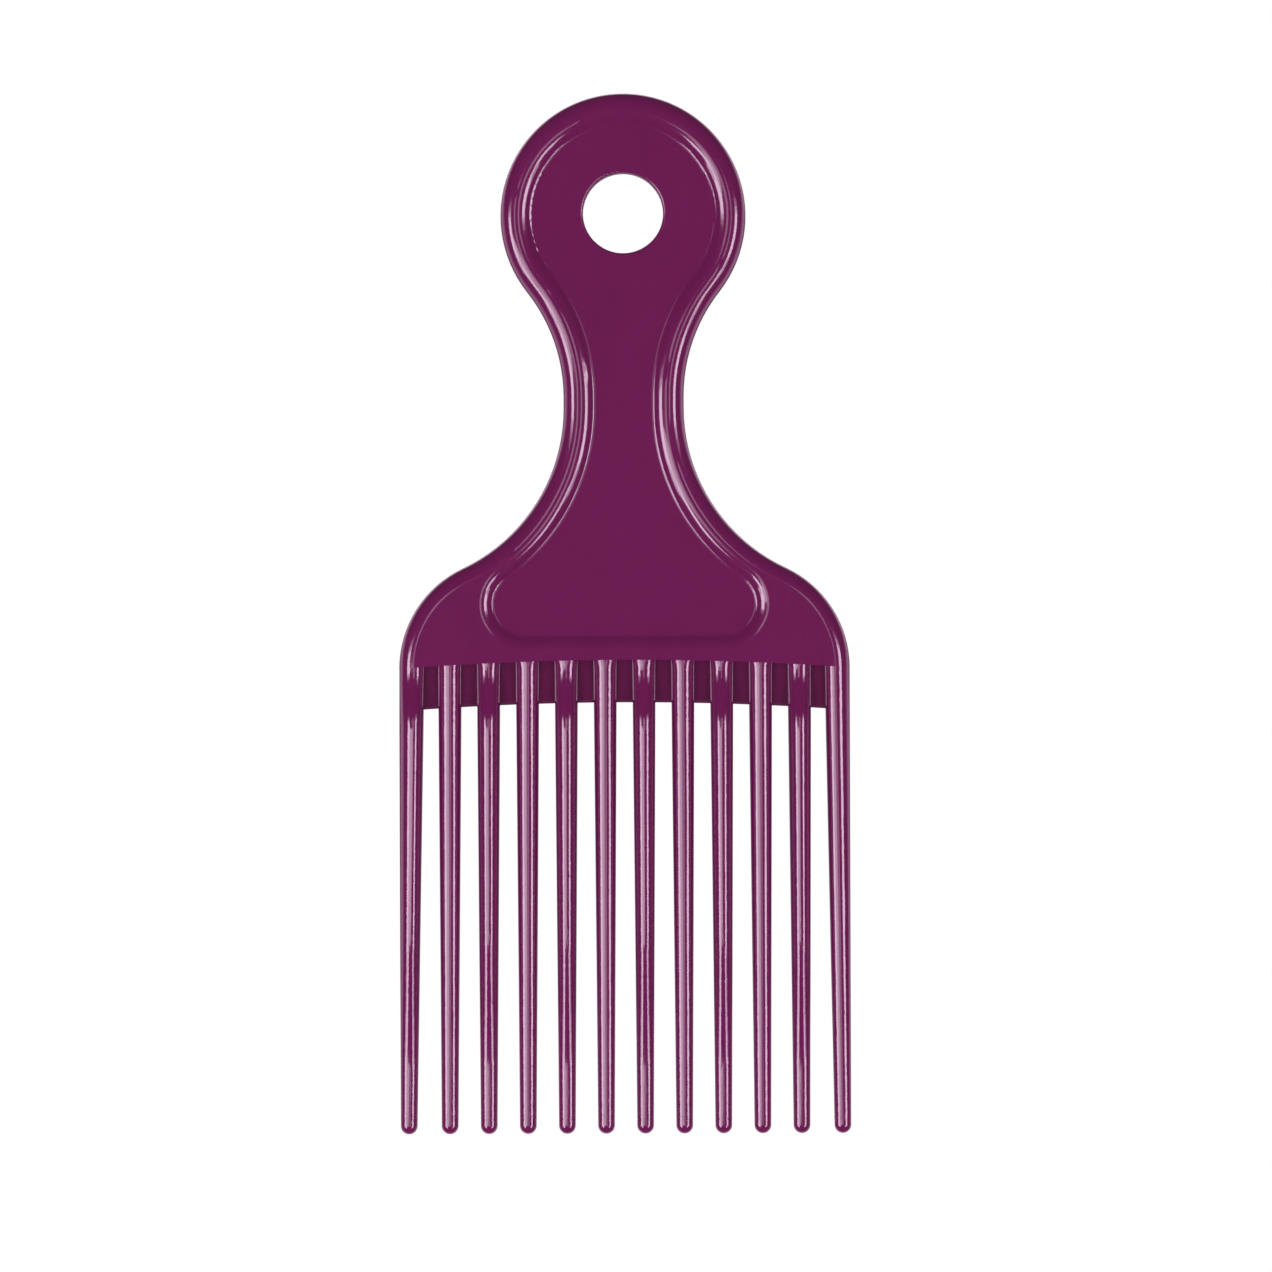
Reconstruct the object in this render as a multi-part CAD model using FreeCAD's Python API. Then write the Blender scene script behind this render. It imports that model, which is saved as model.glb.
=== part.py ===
import FreeCAD, Part
import math
import os

# Afro pick: a flat handle with a ring to hang it by, a shoulder plate, and a row of long teeth.
# x runs along the row of teeth, y from the front face to the back, z up to the ring.
# The origin is the middle of the hang hole, and all lengths are millimetres.

# Handle
plate_thickness = 5.8
edge_round = 2.5
ring_radius = 20.62
ring_drop = 0.44
hole_radius = 6.74
hole_edge_round = 0.4
waist_width = 20.22
waist_drop = 31.8
waist_straight = 1.9
head_width = 75.8
shoulder_radius = 18.6

# Shallow panel inside the rim, the same on both faces
rim_width = 3.7
panel_slope = 1.4
panel_depth = 0.95
panel_corner_radius = 6.8
panel_margin = 2.6
panel_rim_round = 2.6
panel_floor_round = 0.8

# Row of teeth, which starts on a long arch across the shoulder plate
# The pitches are shares of the head's width, and the teeth's widths are shares of the pitch
tooth_count = 12
root_drop = 75.1
root_arch_radius = 518.0
tip_drop = 154.82
root_pitch_share = 0.08615
tip_pitch_share = 0.0868
root_width_share = 0.6
outer_root_width_share = 0.643
tip_width_share = 0.4225
tip_depth = 2.6
tooth_set_back = 0.015

# Rounding of a tooth's front and back, as shares of its half width: blunt at the plate, then fuller
blunt_share = 0.5
full_share = 0.92
tip_share = 0.75
blunt_height = 1.6

# Belly of a tooth: every other tooth swells to the front, and the ones between to the back
belly_height = 1.6
belly_round_share = 0.4
belly_rise_shares = (0.005, 0.16)
belly_fall_shares = (0.56, 0.9)
section_count = 80
hidden_section_count = 4
loft_degree = 5

# Thin web that ties the teeth together below the shoulder plate
web_height = 7.15
web_thickness = 2.0
web_bevel = 0.45

# How far cutting shapes run past what they cut, and how close an edge lies to the line it follows
cut_overrun = 4.0
edge_match = 0.001
fillet_limit_share = 0.9

Vector = FreeCAD.Vector
across = Vector(1, 0, 0)
through = Vector(0, 1, 0)
upward = Vector(0, 0, 1)
origin = Vector(0, 0, 0)


# Places that follow from the sizes

half_thickness = plate_thickness / 2
side_round = min(edge_round, fillet_limit_share * half_thickness)
floor_level = half_thickness - panel_depth
half_head = head_width / 2
half_waist = waist_width / 2
ring_centre = Vector(0, 0, -ring_drop)
waist_top = waist_straight / 2 - waist_drop
waist_bottom = -waist_straight / 2 - waist_drop
arch_centre = Vector(0, 0, -root_drop - root_arch_radius)
root_pitch = head_width * root_pitch_share
tip_pitch = head_width * tip_pitch_share
root_width = root_pitch * root_width_share
outer_root_width = root_pitch * outer_root_width_share
tip_width = tip_pitch * tip_width_share
tooth_run = tip_drop - root_drop - tip_width / 2


def arch_level(x, radius):
    """Height of a round arch of the tooth row above a place along the row."""
    return arch_centre.z + math.sqrt(radius ** 2 - x ** 2)


corner_level = arch_level(half_head, root_arch_radius)
shoulder_centre = Vector(half_head - shoulder_radius, 0, corner_level)


def blend_radius(level, centre, radius):
    """Radius of the hollow arc that leaves the waist upright at this level and touches a round end."""
    reach = half_waist - centre.x
    rise = level - centre.z
    return (reach ** 2 + rise ** 2 - radius ** 2) / (2 * (radius - reach))


throat_radius = blend_radius(waist_top, ring_centre, ring_radius)
throat_centre = Vector(half_waist + throat_radius, 0, waist_top)
flare_radius = blend_radius(waist_bottom, shoulder_centre, shoulder_radius)
flare_centre = Vector(half_waist + flare_radius, 0, waist_bottom)


# Drawing helpers

def arc(centre, start, end):
    """Edge along the shorter way round a circle."""
    radius = (start - centre).Length
    middle = centre + (start + end - centre * 2).normalize() * radius
    return Part.Arc(start, middle, end).toShape()


def line(start, end):
    return Part.LineSegment(start, end).toShape()


def mirrored(shape):
    """The same shape on the other side of the middle line."""
    return shape.mirror(origin, across)


def closed_wire(edges):
    return Part.Wire(Part.__sortEdges__(edges))


def slab(wire, thickness):
    """Flat solid with this outline, centred on the middle plane."""
    face = Part.Face(wire)
    face.translate(through * (-thickness / 2))
    return face.extrude(through * thickness)


def moved(wire, offset):
    """A copy of a wire, moved straight through the thickness."""
    copy = wire.copy()
    copy.translate(through * offset)
    return copy


def edge_middle(edge):
    return edge.valueAt((edge.FirstParameter + edge.LastParameter) / 2)


def edges_along(shape, wire):
    """Edges of a shape that lie on a wire."""
    found = []
    for edge in shape.Edges:
        if wire.distToShape(Part.Vertex(edge_middle(edge)))[0] < edge_match:
            found.append(edge)
    return found


def rounded_along(shape, wires, radius):
    """Fillet on the edges that lie on these wires."""
    edges = []
    for wire in wires:
        edges.extend(edges_along(shape, wire))
    return shape.makeFillet(radius, edges)


# Handle

def side_edges(inset, end_centre, end_radius, end_point):
    """Right-hand side of the handle, this far inside its outline, from the ring to a round lower end."""
    ring_touch = ring_centre + (throat_centre - ring_centre).normalize() * (ring_radius - inset)
    high = Vector(half_waist - inset, 0, waist_top)
    low = Vector(half_waist - inset, 0, waist_bottom)
    end_touch = end_centre + (flare_centre - end_centre).normalize() * end_radius
    edges = [
        arc(throat_centre, ring_touch, high),
        line(high, low),
        arc(flare_centre, low, end_touch),
        arc(end_centre, end_touch, end_point),
    ]
    return ring_touch, edges


def both_sides(inset, end_centre, end_radius, end_point):
    """Both sides of the handle and the top of the ring."""
    touch, right = side_edges(inset, end_centre, end_radius, end_point)
    crown = ring_centre + upward * (ring_radius - inset)
    ring = Part.Arc(touch, crown, Vector(-touch.x, 0, touch.z)).toShape()
    return [ring] + right + [mirrored(edge) for edge in right]


def plate_sides():
    """Outline of the handle without its lower edge. It runs straight on below the row of teeth."""
    corner = Vector(half_head, 0, corner_level)
    drop = line(corner, corner - upward * cut_overrun)
    return both_sides(0, shoulder_centre, shoulder_radius, corner) + [drop, mirrored(drop)]


def arch_edge(radius, half_width):
    """Edge along an arch of the tooth row."""
    right = Vector(half_width, 0, arch_level(half_width, radius))
    middle = arch_centre + upward * radius
    return Part.Arc(right, middle, Vector(-right.x, 0, right.z)).toShape()


def below_arch():
    """Everything below the arch on which the teeth start."""
    arch = arch_edge(root_arch_radius, half_head + cut_overrun)
    right, left = arch.Vertexes[0].Point, arch.Vertexes[-1].Point
    level = corner_level - cut_overrun * 2
    corners = [right, Vector(right.x, 0, level), Vector(left.x, 0, level), left]
    edges = [line(a, b) for a, b in zip(corners, corners[1:])]
    return slab(closed_wire(edges + [arch]), plate_thickness + cut_overrun)


def panel_wire(inset):
    """Outline of the panel, this far inside the handle's outline."""
    lower_end = panel_margin - root_drop
    level = lower_end + panel_corner_radius
    span = flare_radius + rim_width + panel_corner_radius
    side = flare_centre.x - math.sqrt(span ** 2 - (level - waist_bottom) ** 2)
    centre = Vector(side, 0, level)
    radius = panel_corner_radius + rim_width - inset
    bottom = centre - upward * radius
    edges = both_sides(inset, centre, radius, bottom)
    edges.append(line(bottom, Vector(-bottom.x, 0, bottom.z)))
    return closed_wire(edges)


def panel_cutter(side):
    """Tapering solid that sinks the panel into the front, side -1, or the back, side 1."""
    outer = moved(panel_wire(rim_width), side * half_thickness)
    inner = moved(panel_wire(rim_width + panel_slope), side * floor_level)
    cutter = Part.makeLoft([outer, inner], True, True)
    return rounded_along(cutter, [inner], panel_floor_round)


def handle():
    sides = plate_sides()
    foot = corner_level - cut_overrun
    base = line(Vector(half_head, 0, foot), Vector(-half_head, 0, foot))
    plate = slab(closed_wire(sides + [base]), plate_thickness)
    outline = Part.Wire(Part.__sortEdges__(sides))
    borders = [moved(outline, side * half_thickness) for side in (-1, 1)]
    plate = rounded_along(plate, borders, side_round)
    plate = plate.cut(below_arch())
    for side in (-1, 1):
        plate = plate.cut(panel_cutter(side))
    hole = Part.makeCylinder(hole_radius, plate_thickness, -through * half_thickness, through)
    plate = plate.cut(hole)
    rims = [moved(panel_wire(rim_width), side * half_thickness) for side in (-1, 1)]
    plate = rounded_along(plate, rims, panel_rim_round)
    mouth = Part.Wire(Part.makeCircle(hole_radius, origin, through))
    mouths = [moved(mouth, side * floor_level) for side in (-1, 1)]
    return rounded_along(plate, mouths, hole_edge_round)


# Teeth

def between(first, last, share):
    return first + (last - first) * share


def soft_step(share, limits):
    """Soft step from 0 to 1 between two shares."""
    start, end = limits
    part = min(max((share - start) / (end - start), 0), 1)
    return part ** 3 * (part * (6 * part - 15) + 10)


def tooth_place(number, share):
    """Crest of a tooth, this share of the way down it, and how far its left and right sides lie from it."""
    offset = number - (tooth_count + 1) / 2
    if number in (1, tooth_count):
        inner = between(outer_root_width - side_round, tip_width / 2, share)
        outer = between(side_round, tip_width / 2, share)
        x = math.copysign(half_head - tooth_set_back - outer, offset)
        return (x, outer, inner) if number == 1 else (x, inner, outer)
    half_width = between(root_width, tip_width, share) / 2
    return offset * between(root_pitch, tip_pitch, share), half_width, half_width


def tooth_depth(share):
    """Half depth of a tooth without its belly."""
    return between(half_thickness - tooth_set_back, tip_depth / 2, share)


def cap_shares(number, share):
    """Depths of the rounding at a tooth's left and right, as shares of the widths from its crest."""
    blunt = max(1 - share * tooth_run / blunt_height, 0) ** 2
    inner = between(between(full_share, tip_share, share), blunt_share, blunt)
    outer = between(1, tip_share, share)
    return outer if number == 1 else inner, outer if number == tooth_count else inner


def scaled(unit, sizes, centre):
    """A unit shape, drawn out to these sizes and moved to its place."""
    place = FreeCAD.Matrix()
    place.scale(sizes)
    place.move(centre)
    return unit.transformGeometry(place)


def quarter_arc(start_turn, crest, half_width, cap):
    """Quarter of an ellipse between a tooth's crest and one of its straight sides."""
    unit = Part.makeCircle(1, origin, upward, start_turn, start_turn + 90)
    facing = 1 if start_turn < 180 else -1
    return scaled(unit, Vector(half_width, cap, 1), crest - through * cap * facing)


def right_edges(back, front, half_width, cap, back_round, front_round):
    """Right-hand half of the outline across a tooth: a straight side between two roundings."""
    back_arc = quarter_arc(0, back, half_width, cap + back_round)
    front_arc = quarter_arc(270, front, half_width, cap + front_round)
    return [front_arc, line(front_arc.Vertexes[-1].Point, back_arc.Vertexes[0].Point), back_arc]


def tooth_section(number, share):
    """Outline across a tooth, and the right-hand half of it."""
    down = max(share, 0)
    x, left, right = tooth_place(number, down)
    left_share, right_share = cap_shares(number, down)
    belly = belly_height * soft_step(share, belly_rise_shares)
    belly = belly * (1 - soft_step(share, belly_fall_shares))
    back_belly = belly * (1 - number % 2)
    front_belly = belly * (number % 2)
    axis = Vector(x, 0, -root_drop - share * tooth_run)
    back = axis + through * (tooth_depth(down) + back_belly)
    front = axis - through * (tooth_depth(down) + front_belly)
    rounds = back_belly * belly_round_share, front_belly * belly_round_share
    right_half = right_edges(back, front, right, right * right_share, *rounds)
    left_half = right_edges(back, front, left, left * left_share, *rounds)
    left_half = [edge.mirror(axis, across) for edge in reversed(left_half)]
    return Part.Wire(right_half + left_half), right_half


def tooth(number, plate):
    """One tooth, from the shoulder plate to its rounded tip. Odd teeth swell to the front."""
    steps = range(-hidden_section_count, section_count + 1)
    sections = [tooth_section(number, step / section_count)[0] for step in steps]
    blade = Part.makeLoft(sections, True, False, False, loft_degree)
    half = tooth_section(number, 1)[1]
    front, back = half[0].Vertexes[0].Point, half[-1].Vertexes[-1].Point
    half_face = Part.Face(Part.Wire(half + [line(back, front)]))
    dome = half_face.revolve(front, through, 180)
    return max(blade.fuse(dome).cut(plate).Solids, key=lambda solid: solid.Volume)


# Web

def web_band():
    """Strip below the arch of the shoulder plate, bevelled along its lower edges."""
    half_web = web_thickness / 2
    lower_radius = root_arch_radius - web_height
    corners = [
        arch_centre + Vector(0, half_web, root_arch_radius),
        arch_centre + Vector(0, half_web, lower_radius + web_bevel),
        arch_centre + Vector(0, half_web - web_bevel, lower_radius),
    ]
    corners += [Vector(0, -corner.y, corner.z) for corner in reversed(corners)]
    profile = Part.Face(Part.makePolygon(corners + corners[:1]))
    turn = math.degrees(math.asin(tooth_place(tooth_count, 0)[0] / root_arch_radius))
    profile.rotate(arch_centre, through, -turn)
    return profile.revolve(arch_centre, through, turn * 2)


def web(teeth):
    """All the pieces of web, trimmed to the teeth beside them."""
    band = web_band()
    for tooth_solid in teeth:
        band = band.cut(tooth_solid)
    return Part.makeCompound(band.Solids)


os.makedirs("parts", exist_ok=True)
plate = handle()
plate.exportStep("parts/handle.step")
teeth = []
for number in range(1, tooth_count + 1):
    blade = tooth(number, plate)
    blade.exportStep("parts/tooth_%02d.step" % number)
    teeth.append(blade)
web(teeth).exportStep("parts/tooth_web.step")
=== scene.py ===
import math

import bpy
from mathutils import Matrix, Vector

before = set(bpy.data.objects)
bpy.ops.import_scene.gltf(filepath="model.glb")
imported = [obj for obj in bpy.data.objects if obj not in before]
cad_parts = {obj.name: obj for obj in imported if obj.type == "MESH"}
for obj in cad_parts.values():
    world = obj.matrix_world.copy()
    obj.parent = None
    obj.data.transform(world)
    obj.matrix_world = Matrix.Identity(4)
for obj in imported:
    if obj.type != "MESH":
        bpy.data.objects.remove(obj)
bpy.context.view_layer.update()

MM = 0.001
NODE_SPACING = 200

# Picture: the pick fills most of a square frame, seen square on from far away
PICTURE_WIDTH = 214.1 * MM
PICTURE_CENTRE = Vector((1.95, 0.0, -71.1)) * MM
PICTURE_LEAN = math.radians(0.196)
LENS = 200.0
SENSOR = 36.0
NEAR_LIMIT = 0.01
FAR_LIMIT = 20.0

# Moulded plastic: its colours and its gloss
PLUM = (0.119, 0.0068, 0.064, 1.0)
DEEP_PLUM = (0.098, 0.0054, 0.0525, 1.0)
# The web's two plums are darker than the rest: painted shade for the recess between the teeth
PAINTED_SHADE_WEB_PLUM = (0.088, 0.0042, 0.043, 1.0)
PAINTED_SHADE_DEEP_WEB_PLUM = (0.07, 0.0032, 0.034, 1.0)
GLOSS_TINT = (1.0, 0.55, 0.9, 1.0)
PLASTIC_IOR = 1.52
COAT_ROUGHNESS = 0.05

# Skin of the moulding: flow marks in the colour, hairline scuffs and a soft waviness
FLOW_SCALE = 55.0
FLOW_DETAIL = 3.0
FLOW_SWIRL = 0.6
FLOW_START = 0.35
FLOW_FULL = 0.7
SCUFF_SCALE = 2600.0
SCUFF_DETAIL = 2.0
SCUFF_SLANT = (0.0, math.radians(24.0), 0.0)
SCUFF_STRETCH = (1.0, 1.0, 0.06)
SCUFF_START = 0.6
SCUFF_FULL = 0.78
WAVE_SCALE = 160.0
WAVE_DETAIL = 1.0
WAVE_STRENGTH = 0.05
WAVE_HEIGHT = 0.02 * MM

# Finishes, as inputs of the skin
HANDLE_FINISH = {
    "Colour": PLUM,
    "Flow Colour": DEEP_PLUM,
    "Flow Amount": 0.25,
    "Gloss Roughness": 0.14,
    "Scuff Roughness": 0.1,
}
TOOTH_FINISH = {
    "Colour": PLUM,
    "Flow Colour": DEEP_PLUM,
    "Flow Amount": 0.15,
    "Gloss Roughness": 0.12,
    "Scuff Roughness": 0.06,
}
# Web finish: its darker plums are painted shade of the recess between the teeth
WEB_FINISH_WITH_PAINTED_SHADE = {
    "Colour": PAINTED_SHADE_WEB_PLUM,
    "Flow Colour": PAINTED_SHADE_DEEP_WEB_PLUM,
    "Flow Amount": 0.3,
    "Gloss Roughness": 0.16,
    "Scuff Roughness": 0.06,
}

# Studio: the room's own light and the floor
WHITE = (1.0, 1.0, 1.0, 1.0)
ROOM_COLOUR = (0.95, 0.96, 1.0, 1.0)
ROOM_STRENGTH = 0.5
FLOOR_SIZE = 10.0
FLOOR_LEVEL = -900.0 * MM
FLOOR_COLOUR = (0.82, 0.82, 0.82, 1.0)
FLOOR_GLOW = 0.93

# Backdrop that the gloss mirrors: how far it reaches round to the front, and its brightness at
# places from there to straight behind
BACKDROP_TINT = (1.0, 0.68, 0.88)
BACKDROP_REACH = 0.1
BACKDROP_LEVELS = ((0.0, 0.08), (0.4, 1.0), (0.68, 1.0), (0.84, 0.2), (1.0, 0.2))

# Soft boxes: the two turns that each one stands between, in degrees round the pick from the camera
# and minus to the left, then its bottom and top in millimetres, and its brightness
LAMP_DISTANCE = 1500.0 * MM
SOFT_BOXES = {
    "left_strip": (-34.5, -53.5, -334.0, 70.0, 7.3),
    "left_top": (-34.5, -53.5, 70.0, 130.0, 3.6),
    "left_crown": (-34.5, -53.5, 130.0, 200.0, 1.4),
    "left_low": (-41.0, -53.5, -580.0, -334.0, 4.5),
    "left_foot": (-27.0, -41.0, -860.0, -334.0, 7.0),
    "left_fill": (-14.0, -34.5, -334.0, -70.0, 4.0),
    "left_edge": (-7.5, -14.0, -334.0, 190.0, 1.8),
    "right_strip": (33.5, 51.5, -334.0, 110.0, 7.3),
    "right_top": (33.5, 51.5, 110.0, 170.0, 3.6),
    "right_crown": (33.5, 51.5, 170.0, 240.0, 1.4),
    "right_low": (40.0, 51.5, -580.0, -334.0, 2.8),
    "right_foot": (27.0, 40.0, -860.0, -334.0, 6.0),
    "right_edge": (7.5, 13.0, -334.0, 190.0, 1.8),
}
BACK_FILL = (150.0, 210.0, -334.0, 190.0, 3.5)


def add_node(tree, kind, place, inputs=None, **settings):
    """New node at a column and row, with its settings, and a value or a link for each input."""
    node = tree.nodes.new(kind)
    node.location = [step * NODE_SPACING for step in place]
    for name, value in settings.items():
        setattr(node, name, value)
    for socket, value in (inputs or {}).items():
        if isinstance(value, bpy.types.NodeSocket):
            tree.links.new(value, node.inputs[socket])
        else:
            node.inputs[socket].default_value = value
    return node


def add_math(tree, place, operation, *terms):
    """Result of a math node whose terms are numbers or other results."""
    node = add_node(tree, "ShaderNodeMath", place, dict(enumerate(terms)), operation=operation)
    return node.outputs["Value"]


def empty_tree(owner):
    """Node tree of a material or a world, with nothing in it."""
    owner.use_nodes = True
    owner.node_tree.nodes.clear()
    return owner.node_tree


def moulded_skin_group():
    """Faint flow marks, hairline scuffs and a soft waviness, as on any glossy moulding."""
    group = bpy.data.node_groups.new("moulded_skin", "ShaderNodeTree")
    for name, direction, kind in (
        ("Colour", "INPUT", "NodeSocketColor"),
        ("Flow Colour", "INPUT", "NodeSocketColor"),
        ("Flow Amount", "INPUT", "NodeSocketFloat"),
        ("Gloss Roughness", "INPUT", "NodeSocketFloat"),
        ("Scuff Roughness", "INPUT", "NodeSocketFloat"),
        ("Colour", "OUTPUT", "NodeSocketColor"),
        ("Roughness", "OUTPUT", "NodeSocketFloat"),
        ("Height", "OUTPUT", "NodeSocketFloat"),
    ):
        group.interface.new_socket(name, in_out=direction, socket_type=kind)
    given = add_node(group, "NodeGroupInput", (0, 0)).outputs
    place = add_node(group, "ShaderNodeTexCoord", (0, -2)).outputs["Object"]

    flow = add_node(group, "ShaderNodeTexNoise", (2, 1), {
        "Vector": place,
        "Scale": FLOW_SCALE,
        "Detail": FLOW_DETAIL,
        "Distortion": FLOW_SWIRL,
    })
    flow_mark = add_node(group, "ShaderNodeMapRange", (3, 1), {
        "Value": flow.outputs["Fac"],
        "From Min": FLOW_START,
        "From Max": FLOW_FULL,
    })
    tint = add_node(group, "ShaderNodeMix", (5, 1), {
        "Factor": add_math(
            group, (4, 1), "MULTIPLY", flow_mark.outputs["Result"], given["Flow Amount"]
        ),
        "A": given["Colour"],
        "B": given["Flow Colour"],
    }, data_type="RGBA")

    stretch = add_node(group, "ShaderNodeMapping", (1, -2), {
        "Vector": place,
        "Rotation": SCUFF_SLANT,
        "Scale": SCUFF_STRETCH,
    })
    scuff = add_node(group, "ShaderNodeTexNoise", (2, -2), {
        "Vector": stretch.outputs["Vector"],
        "Scale": SCUFF_SCALE,
        "Detail": SCUFF_DETAIL,
    })
    scuff_mark = add_node(group, "ShaderNodeMapRange", (3, -2), {
        "Value": scuff.outputs["Fac"],
        "From Min": SCUFF_START,
        "From Max": SCUFF_FULL,
    })
    roughness = add_math(
        group, (4, -2), "MULTIPLY_ADD",
        scuff_mark.outputs["Result"], given["Scuff Roughness"], given["Gloss Roughness"],
    )

    wave = add_node(group, "ShaderNodeTexNoise", (2, -4), {
        "Vector": place,
        "Scale": WAVE_SCALE,
        "Detail": WAVE_DETAIL,
    })
    add_node(group, "NodeGroupOutput", (7, 0), {
        "Colour": tint.outputs["Result"],
        "Roughness": roughness,
        "Height": wave.outputs["Fac"],
    })
    return group


def plum_plastic(name, skin, finish):
    """Glossy plum plastic, coloured all through."""
    material = bpy.data.materials.new(name)
    tree = empty_tree(material)
    surface = add_node(tree, "ShaderNodeGroup", (0, 0), finish, node_tree=skin)
    wavy = add_node(tree, "ShaderNodeBump", (1, -1), {
        "Height": surface.outputs["Height"],
        "Strength": WAVE_STRENGTH,
        "Distance": WAVE_HEIGHT,
    })
    shader = add_node(tree, "ShaderNodeBsdfPrincipled", (2, 0), {
        "Base Color": surface.outputs["Colour"],
        "Roughness": surface.outputs["Roughness"],
        "Normal": wavy.outputs["Normal"],
        "IOR": PLASTIC_IOR,
        "Specular Tint": GLOSS_TINT,
        "Coat Weight": 1.0,
        "Coat Roughness": COAT_ROUGHNESS,
    })
    add_node(tree, "ShaderNodeOutputMaterial", (4, 0), {"Surface": shader.outputs["BSDF"]})
    return material


def paint(piece, material):
    piece.data.materials.clear()
    piece.data.materials.append(material)


def soft_box(name, near_turn, far_turn, low, high, radiance):
    """Upright soft box that faces the pick from between two turns, unseen by the camera."""
    near, far = (
        Vector((math.sin(turn), -math.cos(turn), 0)) * LAMP_DISTANCE
        for turn in (math.radians(near_turn), math.radians(far_turn))
    )
    up = Vector((0, 0, 1))
    middle = (near + far) / 2
    out = middle.normalized()
    width, height = (far - near).length, (high - low) * MM
    lamp = bpy.data.lights.new(name, "AREA")
    lamp.shape = "RECTANGLE"
    lamp.size = width
    lamp.size_y = height
    lamp.energy = radiance * math.pi * width * height
    holder = bpy.data.objects.new(name, lamp)
    bpy.context.scene.collection.objects.link(holder)
    turn = Matrix((up.cross(out), up, out)).transposed()
    holder.matrix_world = Matrix.Translation(middle + up * (low + high) / 2 * MM) @ turn.to_4x4()
    holder.visible_camera = False
    return holder


def mirrored_backdrop(tree):
    """Tinted backdrop: bright obliquely behind, and dim in front, above and straight behind."""
    place = add_node(tree, "ShaderNodeTexCoord", (0, -2)).outputs["Generated"]
    split = add_node(tree, "ShaderNodeSeparateXYZ", (1, -2), {"Vector": place})
    behind = add_math(tree, (2, -1), "ADD", split.outputs["Y"], BACKDROP_REACH)
    above = add_math(tree, (2, -2), "MAXIMUM", split.outputs["Z"], 0.0)
    low_and_behind = add_math(tree, (3, -2), "SUBTRACT", behind, above)
    depth = add_node(tree, "ShaderNodeValToRGB", (4, -2), {"Fac": low_and_behind})
    depth.color_ramp.interpolation = "EASE"
    stops = depth.color_ramp.elements
    for position, _ in BACKDROP_LEVELS[1:-1]:
        stops.new(position)
    for stop, (_, level) in zip(stops, BACKDROP_LEVELS):
        stop.color = [tint * level for tint in BACKDROP_TINT] + [1.0]
    backdrop = add_node(tree, "ShaderNodeBackground", (6, -2), {"Color": depth.outputs["Color"]})
    return backdrop.outputs["Background"]


def directly_seen(tree, path):
    """One for what the camera sees, straight or through something clear, and otherwise nought."""
    return add_math(
        tree, (4, 2), "MAXIMUM", path.outputs["Is Camera Ray"], path.outputs["Is Transmission Ray"]
    )


def studio_world():
    """White background for the camera, a backdrop in the gloss, and the soft light of a room."""
    world = bpy.data.worlds.new("studio")
    bpy.context.scene.world = world
    tree = empty_tree(world)
    path = add_node(tree, "ShaderNodeLightPath", (3, 1))
    room = add_node(tree, "ShaderNodeBackground", (6, -1), {
        "Color": ROOM_COLOUR,
        "Strength": ROOM_STRENGTH,
    })
    white = add_node(tree, "ShaderNodeBackground", (6, 1), {"Color": WHITE})
    mirrored = add_node(tree, "ShaderNodeMixShader", (7, -1), {
        "Fac": path.outputs["Is Glossy Ray"],
        1: room.outputs["Background"],
        2: mirrored_backdrop(tree),
    })
    shown = add_node(tree, "ShaderNodeMixShader", (8, 0), {
        "Fac": directly_seen(tree, path),
        1: mirrored.outputs["Shader"],
        2: white.outputs["Background"],
    })
    add_node(tree, "ShaderNodeOutputWorld", (9, 0), {"Surface": shown.outputs["Shader"]})


def studio_floor():
    """Wide pale floor far below the teeth: near white to the camera, and not seen in the gloss."""
    bpy.ops.mesh.primitive_plane_add(size=FLOOR_SIZE, location=(0, 0, FLOOR_LEVEL))
    floor = bpy.context.object
    floor.name = "floor"
    material = bpy.data.materials.new("pale_floor")
    tree = empty_tree(material)
    path = add_node(tree, "ShaderNodeLightPath", (3, 1))
    matt = add_node(tree, "ShaderNodeBsdfDiffuse", (6, 1), {"Color": FLOOR_COLOUR})
    glow = add_node(tree, "ShaderNodeEmission", (6, -1), {
        "Color": WHITE,
        "Strength": add_math(tree, (5, 0), "MULTIPLY", directly_seen(tree, path), FLOOR_GLOW),
    })
    both = add_node(tree, "ShaderNodeAddShader", (7, 0), {
        0: matt.outputs["BSDF"],
        1: glow.outputs["Emission"],
    })
    add_node(tree, "ShaderNodeOutputMaterial", (8, 0), {"Surface": both.outputs["Shader"]})
    floor.data.materials.append(material)
    floor.visible_glossy = False


def picture_camera():
    """Camera straight in front of the pick, leaning by as little as the picture does."""
    data = bpy.data.cameras.new("camera")
    data.lens = LENS
    data.sensor_width = SENSOR
    data.clip_start = NEAR_LIMIT
    data.clip_end = FAR_LIMIT
    camera = bpy.data.objects.new("camera", data)
    bpy.context.scene.collection.objects.link(camera)
    distance = PICTURE_WIDTH * LENS / SENSOR
    camera.location = PICTURE_CENTRE - Vector((0, distance, 0))
    camera.rotation_euler = (math.pi / 2, PICTURE_LEAN, 0)
    bpy.context.scene.camera = camera


skin = moulded_skin_group()
handle_plastic = plum_plastic("handle_plum", skin, HANDLE_FINISH)
tooth_plastic = plum_plastic("tooth_plum", skin, TOOTH_FINISH)
# The web's plastic has painted shade in its colour, darker for the recess between the teeth
web_plastic_with_painted_shade = plum_plastic("web_plum_painted_shade", skin, WEB_FINISH_WITH_PAINTED_SHADE)
for name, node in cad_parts.items():
    paint(node, {"handle": handle_plastic, "tooth_web": web_plastic_with_painted_shade}.get(name, tooth_plastic))

picture_camera()
studio_world()
studio_floor()
for name, placing in SOFT_BOXES.items():
    soft_box(name, *placing)
back_fill = soft_box("back_fill", *BACK_FILL)
back_fill.visible_glossy = False

bpy.context.scene.view_settings.view_transform = "Standard"
